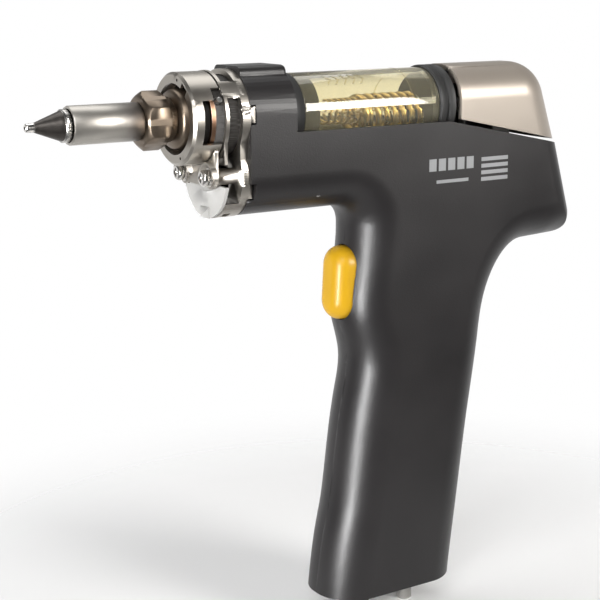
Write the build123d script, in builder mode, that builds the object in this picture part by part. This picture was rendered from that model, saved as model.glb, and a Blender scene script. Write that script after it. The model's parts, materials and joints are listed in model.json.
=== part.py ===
"""Hot desoldering handpiece, gun type: nozzle and heater at the front, a glass filter
pipe in a cradle, a lifting release lever behind it and a two-half pistol housing.

Millimetres. The mouth of the nozzle is the origin, the barrel runs along +X,
the lever side is up (+Z) and the two housing halves part on the plane Y = 0.
"""

from build123d import *
from math import cos, radians, sin, tan
import os

os.makedirs("parts", exist_ok=True)

# ------------------------------------------------------------------ driving sizes
# stations along the barrel, measured from the mouth of the nozzle
cone_end = 10.0
sleeve_front = 11.9
nut_front = 32.4
nut_length = 7.4
can_front = 43.1
can_back = 52.3
plate_front = 52.8
flange_front = 57.8
nose_front = 60.3
cradle_front = 75.3
glass_front = 79.3
glass_length = 47.7
glass_back = glass_front + glass_length
lever_front = glass_back + 7.7
lever_corner = glass_back + 33.2
lever_lean = 18.7

# radii about the barrel axis
tip_r = 1.2
bore_r = 0.5
cone_r = 4.0
sleeve_r = 5.28
can_r = 12.92
frame_r = 13.1
flange_r = 13.3
glass_r = 11.3
glass_wall = 1.6
holder_r = 11.96

# housing
body_half = 13.3
body_edge = 12.4
wall = 2.4
nose_floor = -28.2
belly_floor = -44.9
grip_base = -152.0
cradle_edge = -4.4
deck_slope = 0.21
lower_r = 12.5
lower_drop = 16.0

# fits and thin sections
fit = 0.06
gap = 0.35
wire_r = 0.9

# trigger and lever
trigger_len = 22.7
trigger_half = 6.0
trigger_z = -52.6
trigger_tilt = 3.3
trigger_travel = 2.0
lever_half = 12.0
lever_wall = 1.5
lever_pin_x = glass_back + 10.6
lever_pin_z = lever_half - 3.8
heel_reach = 8.0
lever_open = 30.0
carriage_travel = 3.5


# ------------------------------------------------------------------ short helpers
def rod(x0, x1, r, y=0.0, z=0.0, mode=Mode.ADD):
    """Round bar along the barrel between two stations."""
    with Locations(Location((x0, y, z), (0, 90, 0))):
        Cylinder(r, x1 - x0, align=(Align.CENTER, Align.CENTER, Align.MIN), mode=mode)


def cross(y0, y1, r, x, z, mode=Mode.ADD):
    """Round bar across the body, along Y."""
    with Locations(Location((x, y0, z), (-90, 0, 0))):
        Cylinder(r, y1 - y0, align=(Align.CENTER, Align.CENTER, Align.MIN), mode=mode)


def post(z0, z1, r, x, y=0.0, mode=Mode.ADD):
    """Upright round bar."""
    with Locations((x, y, z0)):
        Cylinder(r, z1 - z0, align=(Align.CENTER, Align.CENTER, Align.MIN), mode=mode)


def block(x0, x1, y0, y1, z0, z1, mode=Mode.ADD):
    """Rectangular block between six faces."""
    with Locations(((x0 + x1) / 2, (y0 + y1) / 2, (z0 + z1) / 2)):
        Box(x1 - x0, y1 - y0, z1 - z0, mode=mode)


def turned(points, mode=Mode.ADD):
    """Body turned about the barrel axis from its half section."""
    with BuildSketch(Plane.XZ) as half:
        with BuildLine():
            Polyline(*points, close=True)
        make_face()
    revolve(half.sketch, axis=Axis.X, mode=mode)


def coil(x0, x1, r, pitch, wire, z=0.0):
    """Coil spring lying along the barrel."""
    path = Helix(pitch, x1 - x0, r, center=(x0, 0, z), direction=(1, 0, 0), mode=Mode.PRIVATE)
    with BuildSketch(Plane(origin=path @ 0, z_dir=path % 0)) as section:
        Circle(wire)
    sweep(section.sketch, path=path, is_frenet=True)


def pipe(points, r, bore=0.0):
    """Hose or wire along straight runs joined by arcs as large as the runs allow."""
    ends = [Vector(*p) for p in points]
    runs = [b - a for a, b in zip(ends, ends[1:])]
    radii = []
    for before, after in zip(runs, runs[1:]):
        turn = radians(before.get_angle(after))
        radii.append(0.45 * min(before.length, after.length) / tan(turn / 2))
    with BuildLine() as run:
        FilletPolyline(*points, radius=radii)
    with BuildSketch(Plane(origin=run.line @ 0, z_dir=run.line % 0)) as section:
        Circle(r)
        if bore > 0:
            Circle(bore, mode=Mode.SUBTRACT)
    sweep(section.sketch, path=run.line)


def save(builder, name):
    """Name the finished piece and write it."""
    builder.part.label = name
    export_step(builder.part, f"parts/{name}.step")


def lower_outline(r_top, r_low, half):
    """Front outline shared by the nose parts: round top, straight waist, round foot."""
    Circle(r_top)
    with Locations((0, -lower_drop)):
        Circle(r_low)
    with Locations((0, -lower_drop / 2)):
        Rectangle(2 * half, lower_drop)


# ------------------------------------------------------------------ 1 nozzle
# Plated iron tip with the suction bore, a cone and a collar that sits in the sleeve mouth.
with BuildPart() as nozzle:
    turned([
        (0, bore_r), (0, tip_r - 0.25), (0.3, tip_r), (2.4, tip_r + 0.12), (2.7, tip_r + 0.2),
        (cone_end - 0.3, cone_r), (cone_end, cone_r), (cone_end + 0.1, cone_r + 0.45),
        (sleeve_front - 0.4, cone_r + 0.45), (sleeve_front - 0.4, cone_r - 0.25),
        (sleeve_front + 5.5, cone_r - 0.25), (sleeve_front + 5.5, 2.3),
        (cone_end - 2.0, 2.3), (cone_end - 3.2, bore_r),
    ])
save(nozzle, "nozzle")

# ------------------------------------------------------------------ 2 heater core
# Ceramic heater rod: it fills the nozzle socket at the front and is pinned in the flange.
core_r = 3.55
tube_r = 1.55
flange_seat = 47.6
with BuildPart() as heater_core:
    turned([
        (cone_end - 1.8, tube_r + 0.1), (cone_end - 1.8, 2.24), (sleeve_front + 5.7, 2.24),
        (sleeve_front + 5.7, core_r), (flange_seat, core_r), (flange_seat, tube_r + 0.1),
    ])
save(heater_core, "heater_core")

# ------------------------------------------------------------------ 3 solder tube
# Thin stainless tube that carries molten solder back to the glass pipe.
with BuildPart() as solder_tube:
    rod(cone_end - 1.6, cradle_front + 9.0, tube_r)
    rod(cone_end - 1.6, cradle_front + 9.0, tube_r - 0.4, mode=Mode.SUBTRACT)
save(solder_tube, "solder_tube")

# ------------------------------------------------------------------ 4 sleeve
# Polished heater cover with a rolled mouth and a flared root held by the nut.
sleeve_root = nut_front + 4.6
sleeve_neck_r = sleeve_r - 0.28
with BuildPart() as sleeve:
    turned([
        (sleeve_front, cone_r + 0.55), (sleeve_front, sleeve_r - 0.2), (sleeve_front + 0.3, sleeve_r),
        (nut_front - 0.5, sleeve_r), (nut_front - 0.3, sleeve_neck_r),
        (nut_front + 3.72, sleeve_neck_r), (nut_front + 3.76, sleeve_r + 0.8), (sleeve_root, sleeve_r + 0.8),
        (sleeve_root, sleeve_r - 0.7), (sleeve_front + 1.2, sleeve_r - 0.7), (sleeve_front + 0.9, cone_r + 0.55),
    ])
save(sleeve, "sleeve")

# ------------------------------------------------------------------ 5 sleeve nut
# Hexagon union nut, chamfered at both ends, screwed on the heater flange neck.
nut_flats = 14.2
neck_r = 6.3
with BuildPart() as sleeve_nut:
    with BuildSketch(Plane.YZ.offset(nut_front)):
        RegularPolygon(nut_flats / 2, 6, major_radius=False, rotation=30)
    extrude(amount=nut_length)
    turned([
        (nut_front - 1, 6.4), (nut_front, 6.6), (nut_front + 1.5, 8.3),
        (nut_front + nut_length - 1.5, 8.3), (nut_front + nut_length, 6.6),
        (nut_front + nut_length + 1, 6.4), (nut_front + nut_length + 1, 0), (nut_front - 1, 0),
    ], mode=Mode.INTERSECT)
    rod(nut_front - 1, nut_front + 3.7, sleeve_neck_r + 0.08, mode=Mode.SUBTRACT)
    rod(nut_front + 3.6, nut_front + nut_length + 1, neck_r + 0.05, mode=Mode.SUBTRACT)
save(sleeve_nut, "sleeve_nut")

# ------------------------------------------------------------------ 6 heater flange
# Bronze-toned carrier of the heater: neck for the nut, flared dish, plain back disc.
dish_front = 42.4
with BuildPart() as heater_flange:
    turned([
        (sleeve_root + 0.1, core_r + 0.1), (sleeve_root + 0.1, neck_r), (nut_front + nut_length + 1.4, neck_r),
        (nut_front + nut_length + 1.4, 5.6), (dish_front - 0.6, 5.6), (dish_front, 7.9), (dish_front + 0.5, 8.2),
        (dish_front + 3.6, 9.3), (dish_front + 4.6, 9.3), (dish_front + 4.6, core_r + 0.1),
    ])
save(heater_flange, "heater_flange")

# ------------------------------------------------------------------ 7 insulator
# Black moulded bush that carries the heater flange, the wave ring and the bayonet pins.
shoulder = 50.5
insulator_back = nose_front + 1.8
pin_x = 51.4
pin_angle = 154.0
with BuildPart() as insulator:
    turned([
        (dish_front + 4.8, 5.0), (dish_front + 4.8, 10.4), (shoulder, 10.4), (shoulder, 11.55),
        (insulator_back, 11.55), (insulator_back, 5.0),
    ])
    for a in (pin_angle, pin_angle - 180):
        with Locations(Location((pin_x, 10.2 * cos(radians(a)), 10.2 * sin(radians(a))), (-(90 - a), 0, 0))):
            Cylinder(0.8, 3.0, align=(Align.CENTER, Align.CENTER, Align.MIN), mode=Mode.SUBTRACT)
save(insulator, "insulator")

# ------------------------------------------------------------------ 8 wave ring
# Copper coloured sprung ring that takes up play behind the heater.
with BuildPart() as wave_ring:
    rod(49.1, shoulder - 0.1, 11.6)
    rod(49.1, shoulder - 0.1, 10.45, mode=Mode.SUBTRACT)
save(wave_ring, "wave_ring")

# ------------------------------------------------------------------ 9 bayonet pins
# Two pins pressed in the insulator; the locking can turns round them.
with BuildPart() as bayonet_pins:
    for a in (pin_angle, pin_angle - 180):
        with Locations(Location((pin_x, 10.25 * cos(radians(a)), 10.25 * sin(radians(a))), (-(90 - a), 0, 0))):
            Cylinder(0.78, 2.9, align=(Align.CENTER, Align.CENTER, Align.MIN))
save(bayonet_pins, "bayonet_pins")

# ------------------------------------------------------------------ 10 locking can
# Pressed can with a turned-in face; it twists to let the heater out.
can_inner = can_r - 0.65
window_low = -30.0
window_high = 26.0
step_high = 43.0
can_twist = 22.0
with BuildPart() as locking_can:
    turned([
        (can_front, 9.9), (can_front, can_r - 0.7), (can_front + 0.7, can_r), (can_back, can_r),
        (can_back, can_inner), (can_front + 1.3, can_inner), (can_front + 0.9, can_inner - 0.4),
        (can_front + 0.8, 9.9),
    ])
    for turn in (180, 0):
        for x0, low, high in ((46.2, window_low, window_high), (49.7, window_high - 4, step_high)):
            reach = 2 * can_r
            with BuildSketch(Plane.YZ.offset(x0)) as slot:
                with BuildLine():
                    Polyline(
                        (0, 0),
                        (reach * cos(radians(turn - low)), reach * sin(radians(turn - low))),
                        (reach * cos(radians(turn - (low + high) / 2)), reach * sin(radians(turn - (low + high) / 2))),
                        (reach * cos(radians(turn - high)), reach * sin(radians(turn - high))),
                        close=True,
                    )
                make_face()
            extrude(slot.sketch, amount=can_back - x0 + 1, mode=Mode.SUBTRACT)
    for a in (105, 250):
        rod(can_front - 0.1, can_front + 1, 0.45, 11.2 * cos(radians(a)), 11.2 * sin(radians(a)), mode=Mode.SUBTRACT)
    with Locations(Location((can_front, 0, 0), (128, 0, 0))):
        with Locations((0.4, 10.6, 0)):
            Box(2.4, 2.2, 3.4, mode=Mode.SUBTRACT)
save(locking_can, "locking_can")

# ------------------------------------------------------------------ 11 front frame
# Cast frame: thin front ring, two bridges, the rear plate, a foot wall and four tabs.
waist = 11.5
post_y = 7.5
post_z = -15.9
post_r = 2.3
post_front = 51.3
with BuildPart() as front_frame:
    with BuildSketch(Plane.YZ.offset(plate_front)) as ring_face:
        Circle(frame_r)
        for side in (-1, 1):
            with Locations((side * (waist - 0.6), -6.6)):
                Rectangle(1.2, 11.2)
        Circle(frame_r - 1.1, mode=Mode.SUBTRACT)
    extrude(ring_face.sketch, amount=1.0)
    with BuildSketch(Plane.YZ.offset(flange_front)) as plate_face:
        lower_outline(flange_r, lower_r, waist)
        Circle(11.8, mode=Mode.SUBTRACT)
        with Locations((0, -18.6)):
            RectangleRounded(9.0, 9.5, 1.5, mode=Mode.SUBTRACT)
    extrude(plate_face.sketch, amount=nose_front - flange_front)
    for side in (-1, 1):
        with BuildSketch(Plane.YZ.offset(plate_front + 0.5)) as bridge:
            Circle(frame_r)
            Circle(frame_r - 1.1, mode=Mode.SUBTRACT)
            with BuildLine():
                Polyline((0, 0), (side * 30 * cos(radians(28)), 30 * sin(radians(28))),
                         (side * 30 * cos(radians(52)), 30 * sin(radians(52))), close=True)
            make_face(mode=Mode.INTERSECT)
        extrude(bridge.sketch, amount=flange_front - plate_front)
    with BuildSketch(Plane.YZ.offset(plate_front + 0.9)) as foot:
        with Locations((0, -lower_drop)):
            Circle(lower_r)
            Circle(lower_r - 1.1, mode=Mode.SUBTRACT)
        with Locations((0, -lower_drop - 15.0)):
            Rectangle(40, 15.0, mode=Mode.INTERSECT)
    extrude(foot.sketch, amount=flange_front - plate_front)
    block(plate_front + 2.2, flange_front - 0.6, -6.5, -1.0, -30, -24, mode=Mode.SUBTRACT)
    for side in (-1, 1):
        rod(post_front, flange_front + 0.5, post_r, side * post_y, post_z)
        rod(post_front - 1, flange_front + 1.5, 1.26, side * post_y, post_z, mode=Mode.SUBTRACT)
        block(nose_front - 0.5, nose_front + 1.5, side * 12.45 - 0.65, side * 12.45 + 0.65, -1.0, 3.4)
        block(nose_front - 0.5, nose_front + 1.5, side * 9.9 - 0.9, side * 9.9 + 0.9, -22.4, -18.4)
save(front_frame, "front_frame")

# ------------------------------------------------------------------ 12 cover plate
# D shaped plate clipped over the foot of the frame with one spring tab.
cover_top = -18.5
with BuildPart() as cover_plate:
    with BuildSketch(Plane.YZ.offset(plate_front - 0.15)) as d_face:
        with Locations((0, -lower_drop)):
            Circle(lower_r - 0.15)
        with Locations((0, cover_top + 15)):
            Rectangle(40, 30, mode=Mode.SUBTRACT)
    extrude(d_face.sketch, amount=1.0)
    block(plate_front - 0.5, plate_front, -2.4, 2.4, -28.3, -25.2)
    with BuildSketch(Plane.YZ.offset(plate_front - 0.35)) as crescent:
        with Locations((0, -20.3)):
            Circle(2.9)
            with Locations((0, 1.5)):
                Rectangle(8, 3.4, mode=Mode.SUBTRACT)
    extrude(crescent.sketch, amount=0.5)
save(cover_plate, "cover_plate")

# ------------------------------------------------------------------ 13 clamp bracket
# Bent plate across the two posts; its top is hollowed to clear the can.
with BuildPart() as clamp_bracket:
    with BuildSketch(Plane.YZ.offset(post_front - 1.05)) as face:
        with Locations((0, -13.1)):
            RectangleRounded(21.4, 11.0, 1.2)
        for side in (-1, 1):
            with Locations((side * post_y, post_z)):
                Circle(3.3)
        Circle(can_r + 0.25, mode=Mode.SUBTRACT)
        for side in (-1, 1):
            with Locations((side * post_y, post_z)):
                Circle(1.3, mode=Mode.SUBTRACT)
    extrude(face.sketch, amount=1.0)
    for side in (-1, 1):
        with BuildSketch(Plane.YZ.offset(post_front - 2.4)) as cup:
            with Locations((side * post_y, post_z)):
                Circle(4.4)
                Circle(3.7, mode=Mode.SUBTRACT)
                with Locations((0, -3.0)):
                    Rectangle(12, 6, mode=Mode.SUBTRACT)
            Circle(can_r + 0.25, mode=Mode.SUBTRACT)
        extrude(cup.sketch, amount=1.6)
save(clamp_bracket, "clamp_bracket")

# ------------------------------------------------------------------ 14-16 clamp screws and washers
# Two pan-head cross-recess screws, each with a spring washer and a flat washer.
bracket_face = post_front - 1.05
with BuildPart() as flat_washers:
    for side in (-1, 1):
        rod(bracket_face - 0.45, bracket_face - 0.02, 2.6, side * post_y, post_z)
        rod(bracket_face - 1, bracket_face + 1, 1.3, side * post_y, post_z, mode=Mode.SUBTRACT)
save(flat_washers, "flat_washers")

with BuildPart() as spring_washers:
    for side in (-1, 1):
        rod(bracket_face - 1.1, bracket_face - 0.47, 2.3, side * post_y, post_z)
        rod(bracket_face - 2, bracket_face + 1, 1.3, side * post_y, post_z, mode=Mode.SUBTRACT)
        block(bracket_face - 2, bracket_face, side * post_y - 0.15, side * post_y + 0.15,
              post_z, post_z + 3, mode=Mode.SUBTRACT)
save(spring_washers, "spring_washers")

head_front = bracket_face - 2.9
with BuildPart() as clamp_screws:
    for side in (-1, 1):
        rod(head_front, bracket_face - 1.12, 2.3, side * post_y, post_z)
    fillet(clamp_screws.edges().filter_by(GeomType.CIRCLE).group_by(Axis.X)[0], radius=0.9)
    for side in (-1, 1):
        rod(bracket_face - 1.5, flange_front, 1.22, side * post_y, post_z)
        block(head_front - 1, head_front + 0.9, side * post_y - 0.28, side * post_y + 0.28,
              post_z - 1.35, post_z + 1.35, mode=Mode.SUBTRACT)
        block(head_front - 1, head_front + 0.9, side * post_y - 1.35, side * post_y + 1.35,
              post_z - 0.28, post_z + 0.28, mode=Mode.SUBTRACT)
save(clamp_screws, "clamp_screws")

# ------------------------------------------------------------------ 17 heater leads
# Three insulated wires from the insulator back into the grip.
with BuildPart() as heater_leads:
    for y in (-5.0, 0.0, 5.0):
        pipe([(insulator_back + 0.3, y, -8.0), (65.6, y, -8.5), (72.4, y, -17.3), (92.0, y, -17.6),
              (108.0, y, -22.5), (118.0, y, -31.0), (120.8, y, -41.3)], 0.85)
save(heater_leads, "heater_leads")

# ------------------------------------------------------------------ 18-22 filter pipe
# Front packing: black rubber flange and a plug inside the glass.
glass_bore = glass_r - glass_wall
plug_r = glass_bore - 0.05
with BuildPart() as front_packing:
    turned([
        (cradle_front + 0.1, tube_r + 0.05), (cradle_front + 0.1, 10.9), (cradle_front + 0.6, glass_r + 0.1),
        (glass_front - 0.1, glass_r + 0.1), (glass_front - 0.1, plug_r), (glass_front + 5.6, plug_r),
        (glass_front + 5.6, 7.4), (cradle_front + 9.2, tube_r + 1.2), (cradle_front + 9.2, tube_r + 0.05),
    ])
save(front_packing, "front_packing")

with BuildPart() as glass_tube:
    rod(glass_front, glass_back, glass_r)
    rod(glass_front, glass_back, glass_bore, mode=Mode.SUBTRACT)
    fillet(glass_tube.edges().filter_by(GeomType.CIRCLE), radius=0.3)
save(glass_tube, "glass_tube")

# Spring filter: narrow lead-in coils, then the wide coils that catch the solder.
filter_z = -2.0
lead_z = -0.8
coil_r = glass_bore - 4.4
coil_step = glass_front + 24.7
with BuildPart() as spring_filter:
    coil(glass_front + 13.3, coil_step - 0.4, coil_r - 1.5, 2.0, 0.35, lead_z)
    coil(coil_step + 0.6, glass_back - 3.2, coil_r, 2.9, wire_r, filter_z)
    with Locations(Location((coil_step, 0, filter_z), (0, 90, 0))):
        Torus(coil_r, wire_r)
    block(coil_step - 0.6, coil_step + 0.1, -coil_r, coil_r, filter_z - 0.35, filter_z + 0.35)
    block(coil_step - 0.6, coil_step + 0.1, -0.35, 0.35, filter_z - coil_r, filter_z + coil_r)
save(spring_filter, "spring_filter")

# Rear packing: black cup that holds the paper filter against the holder ring.
with BuildPart() as rear_packing:
    turned([
        (glass_back - 2.0, 3.0), (glass_back - 2.0, plug_r), (glass_back - 0.05, plug_r),
        (glass_back - 0.05, plug_r - 1.05), (glass_back - 1.2, plug_r - 1.05), (glass_back - 1.2, 3.0),
    ])
save(rear_packing, "rear_packing")

with BuildPart() as paper_filter:
    rod(glass_back - 1.15, glass_back - 0.1, plug_r - 1.15)
save(paper_filter, "paper_filter")

# ------------------------------------------------------------------ 23 holder ring
# Rubber sealing ring with two ridges that presses on the back of the glass.
ring_back = glass_back + 6.0
neck_seat = 8.2
with BuildPart() as holder_ring:
    turned([
        (glass_back + 0.05, 2.7), (glass_back + 0.05, holder_r - 0.4), (glass_back + 0.5, holder_r),
        (glass_back + 2.4, holder_r), (glass_back + 2.7, holder_r - 0.8), (glass_back + 3.3, holder_r - 0.8),
        (glass_back + 3.6, holder_r), (ring_back - 0.4, holder_r), (ring_back, holder_r - 0.4),
        (ring_back, 2.7),
    ])
save(holder_ring, "holder_ring")

# ------------------------------------------------------------------ 24 carriage
# Moulded yoke behind the ring, with the suction stem that slides in the guide bracket.
stem_r = 2.6
stem_back = glass_back + 28.5
yoke_half = 3.4
bearing_front = lever_pin_x + 10.4
with BuildPart() as carriage:
    rod(ring_back + 0.05, lever_front - 0.5, neck_seat)
    block(ring_back + 1, lever_pin_x + 2.0, -yoke_half, yoke_half, -7.0, lever_pin_z - 1.2)
    cross(-yoke_half, yoke_half, 1.95, lever_pin_x, lever_pin_z)
    block(lever_pin_x - 1.5, lever_pin_x + 1.5, -yoke_half, yoke_half, lever_pin_z - 3, lever_pin_z)
    rod(glass_back + 0.3, stem_back, stem_r)
    cross(-yoke_half - 1, yoke_half + 1, 1.03, lever_pin_x, lever_pin_z, mode=Mode.SUBTRACT)
    rod(glass_back - 1, stem_back + 1, 1.6, mode=Mode.SUBTRACT)
save(carriage, "carriage")

# ------------------------------------------------------------------ 25 lever pin
with BuildPart() as lever_pin:
    cross(-6.4, 6.4, 1.0, lever_pin_x, lever_pin_z)
save(lever_pin, "lever_pin")


# ------------------------------------------------------------------ 26 release lever
# Metallic shell that hooks over the back of the barrel; cheeks inside carry the pin and
# a spiral heel that locks against the bracket nubs while the lever is down.
def lever_body(inset, edge):
    """Solid inside the lever skin, offset by the wall."""
    top = lever_half - inset
    corner = 12.6 - inset
    with BuildPart() as body:
        with BuildSketch(Plane.XZ) as side:
            with BuildLine():
                l1 = Line((110, top), (lever_corner, top))
                a1 = JernArc(l1 @ 1, l1 % 1, corner, lever_lean - 90)
                l2 = Line(a1 @ 1, a1 @ 1 + 40 * (a1 % 1))
                l3 = Line(l2 @ 1, (110, (l2 @ 1).Y))
                Line(l3 @ 1, l1 @ 0)
            make_face()
        extrude(side.sketch, amount=lever_half - inset, both=True)
        outer = body.edges().filter_by(
            lambda e: abs(abs(e.center().Y) - lever_half + inset) < 0.01
            and e.center().X > 112 and e.center().Z > -40 and (e.center().Z > -10 or e.center().X > 160)
        )
        fillet(outer, radius=edge)
    return body.part


skin = lever_body(0.0, lever_half - 1.4)
hollow = lever_body(lever_wall, lever_half - lever_wall - 1.3)
hem = -4.1
heel_y0 = yoke_half + 0.35
heel_y1 = heel_y0 + 2.1
with BuildPart() as release_lever:
    add(skin)
    add(hollow, mode=Mode.SUBTRACT)
    for side in (-1, 1):
        y0, y1 = sorted((side * heel_y0, side * heel_y1))
        with BuildSketch(Plane.XZ.offset(-y1)) as heel:
            with BuildLine():
                spiral = [
                    (lever_pin_x + (heel_reach - carriage_travel * k / 5) * cos(radians(-lever_open * k / 5)),
                     lever_pin_z + (heel_reach - carriage_travel * k / 5) * sin(radians(-lever_open * k / 5)))
                    for k in range(7)
                ]
                Polyline((lever_pin_x, lever_half - 0.8), (spiral[0][0], lever_half - 0.8), *spiral,
                         (lever_pin_x + 1.2, lever_pin_z - 1.9), (lever_pin_x - 1.2, lever_pin_z - 1.9),
                         (lever_pin_x - 1.9, lever_pin_z), (lever_pin_x - 1.6, lever_half - 0.8), close=True)
            make_face()
        extrude(heel.sketch, amount=y1 - y0)
    cross(-8, 8, 1.03, lever_pin_x, lever_pin_z, mode=Mode.SUBTRACT)
    with BuildSketch(Plane.XZ) as trim:
        with BuildLine():
            Polyline((lever_front, 40), (lever_front, hem), (lever_front + 60, hem - 60 * deck_slope - 0.3),
                     (lever_front + 60, 40), close=True)
        make_face()
    extrude(trim.sketch, amount=30, both=True, mode=Mode.INTERSECT)
save(release_lever, "release_lever")

# ------------------------------------------------------------------ 27 guide bracket
# Fixed bracket in the housing: bearing for the stem and two nubs for the lever heels.
bay_floor = -18.0
nub_x = lever_pin_x + heel_reach + 0.2
elbow_x = bearing_front + 9.6
with BuildPart() as guide_bracket:
    block(nub_x - 3, elbow_x + 6.4, -8.6, 8.6, bay_floor, bay_floor + 1.8)
    block(bearing_front, bearing_front + 3.4, -6.2, 6.2, bay_floor + 1, 4.6)
    for side in (-1, 1):
        y0, y1 = sorted((side * heel_y0, side * (heel_y1 + 0.2)))
        block(nub_x, bearing_front + 1, y0, y1, bay_floor + 1, lever_pin_z - 0.3)
    rod(bearing_front - 5, bearing_front + 5, stem_r + fit, mode=Mode.SUBTRACT)
    post(bay_floor - 1, bay_floor + 3, 2.6, elbow_x, mode=Mode.SUBTRACT)
save(guide_bracket, "guide_bracket")

# ------------------------------------------------------------------ 28 carriage spring
# Drawn-out coil round the stem: it pulls the carriage back once the lever lets go.
with BuildPart() as carriage_spring:
    coil(lever_pin_x + 2.4, bearing_front - 0.4, stem_r + 0.5, 1.15, 0.28)
save(carriage_spring, "carriage_spring")

# ------------------------------------------------------------------ 29 stem seal
with BuildPart() as stem_seal:
    with Locations(Location((bearing_front + 5.2, 0, 0), (0, 90, 0))):
        Torus(stem_r + 0.62, 0.6)
save(stem_seal, "stem_seal")

# ------------------------------------------------------------------ 30 vacuum elbow
# Chamber behind the bracket that turns the suction line down into the grip.
with BuildPart() as vacuum_elbow:
    rod(bearing_front + 3.5, elbow_x + 4.8, 4.9)
    post(-25.0, 0, 2.2, elbow_x)
    post(-22.2, -20.6, 2.6, elbow_x)
    block(elbow_x - 3.4, elbow_x + 3.4, -3.4, 3.4, bay_floor + 1.85, -3.6)
    rod(bearing_front + 3, bearing_front + 6.4, stem_r + 1.24, mode=Mode.SUBTRACT)
    rod(bearing_front + 3, elbow_x + 3.0, stem_r + fit, mode=Mode.SUBTRACT)
    post(-28, -0.5, 1.3, elbow_x, mode=Mode.SUBTRACT)
save(vacuum_elbow, "vacuum_elbow")

# ------------------------------------------------------------------ 31 vacuum hose
nipple_x = 124.0
with BuildPart() as vacuum_hose:
    pipe([(elbow_x, 0, -22.9), (elbow_x - 0.9, 0, -32.0), (elbow_x - 10.7, 0, -49.5),
          (137.0, 0, -80.0), (129.0, 0, -112.0), (nipple_x + 0.3, 0, grip_base + 19.0),
          (nipple_x, 0, grip_base + 10.0)], 3.1, 2.26)
save(vacuum_hose, "vacuum_hose")


# ------------------------------------------------------------------ 32-33 housing
# Two moulded halves. The outline is drawn once and reused for the skin and the hollow.
def body_shape(inset):
    """Grip, nose and belly as one rounded solid, set in by the wall."""
    front = [(98.0, -64.0), (100.8, -76.5), (99.2, -88.5), (94.3, -122.0), (88.6, grip_base - 8.0)]
    back = [(137.0, grip_base - 8.0), (140.4, -131.0), (144.6, -98.5), (148.2, -74.0), (150.3, -61.5)]
    front = [(x + inset, z + inset) for x, z in front]
    back = [(x - inset, z + inset) for x, z in back]
    floor = nose_floor + inset
    belly = belly_floor + inset
    half = body_half - inset
    with BuildPart() as body:
        with BuildSketch(Plane.XZ) as side:
            with BuildLine():
                l1 = Line((40, floor), (93.2 + inset, floor))
                a1 = TangentArc(l1 @ 1, (100.0 + inset, -35.0 + inset), tangent=l1 % 1)
                s1 = Spline(a1 @ 1, *front, tangents=(a1 % 1, (-0.09, -1)))
                l2 = Line(s1 @ 1, back[0])
                s2 = Spline(*back, (lever_corner + 1.8 - inset, belly - 1.1), (lever_corner + 11.8 - inset, belly),
                            tangents=((0.08, 1), (1, 0.05)))
                l3 = Line(s2 @ 1, (lever_corner + 44.8, belly + 1.6))
                l4 = Line(l3 @ 1, (lever_corner + 44.8, body_half - inset))
                l5 = Line(l4 @ 1, (40, body_half - inset))
                Line(l5 @ 1, l1 @ 0)
            make_face()
        extrude(side.sketch, amount=half, both=True)
        long_edges = body.edges().filter_by(
            lambda e: abs(abs(e.center().Y) - half) < 0.01
            and 41 < e.center().X < lever_corner + 43 and e.center().Z > grip_base + 2
        )
        fillet(long_edges, radius=body_edge - inset)
    return body.part


def tail_shape(inset, edge):
    """Rounded back end that trims the belly."""
    half = body_half - inset
    foot = belly_floor + inset
    with BuildPart() as tail:
        with BuildSketch(Plane.XZ) as side:
            with BuildLine():
                l1 = Line((0, 40), (lever_corner + 0.1 - inset, 40))
                l2 = Line(l1 @ 1, (lever_corner + 22.0 - inset, foot + 10.1))
                a1 = JernArc(l2 @ 1, l2 % 1, edge + 0.3, -100.5)
                l3 = Line(a1 @ 1, a1 @ 1 + 18 * (a1 % 1))
                l4 = Line(l3 @ 1, ((l3 @ 1).X, -200))
                l5 = Line(l4 @ 1, (0, -200))
                Line(l5 @ 1, l1 @ 0)
            make_face()
        extrude(side.sketch, amount=half + 0.02, both=True)
        back_edges = tail.edges().filter_by(
            lambda e: abs(abs(e.center().Y) - half - 0.02) < 0.01
            and e.center().X > 158 and e.center().Z < 39 and e.length < 90
        )
        fillet(back_edges, radius=edge)
    return tail.part


outer_shape = body_shape(0.0)
inner_shape = body_shape(wall)
outer_tail = tail_shape(0.0, 8.2)
inner_tail = tail_shape(wall, 5.9)
boss_r = 3.0
boss_places = [(84.0, -22.7), (lever_corner + 10.8, -34.0), (135.5, -58.0), (101.5, -122.0)]
board_x = 117.2
board_half = 9.4

with BuildPart() as cavity:
    add(inner_shape)
    add(inner_tail, mode=Mode.INTERSECT)
    block(0, nose_front + 12.9, -40, 40, -60, 40, mode=Mode.SUBTRACT)
    block(0, 200, -40, 40, grip_base - 30, grip_base + wall, mode=Mode.SUBTRACT)
    block(nose_front + 12, lever_pin_x - 0.6, -40, 40, -holder_r - 2.6, 40, mode=Mode.SUBTRACT)
    with BuildSketch(Plane.YZ.offset(nose_front - 1)) as nose_room:
        lower_outline(11.75, body_half - wall - 0.2, 10.9)
    extrude(nose_room.sketch, amount=13.9)

with BuildPart() as bosses:
    for x, z in boss_places:
        cross(-body_half + 1.6, body_half - 1.6, boss_r, x, z)
    add(outer_shape, mode=Mode.INTERSECT)

with BuildPart() as rib:
    with BuildSketch(Plane.YZ.offset(55)) as rib_face:
        with Locations((0, body_half - 1.7)):
            RectangleRounded(15.0, 5.0, 2.2)
    extrude(rib_face.sketch, amount=cradle_front + 0.7 - 55)
    fillet(rib.faces().sort_by(Axis.X)[-1].edges(), radius=1.6)

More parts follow.
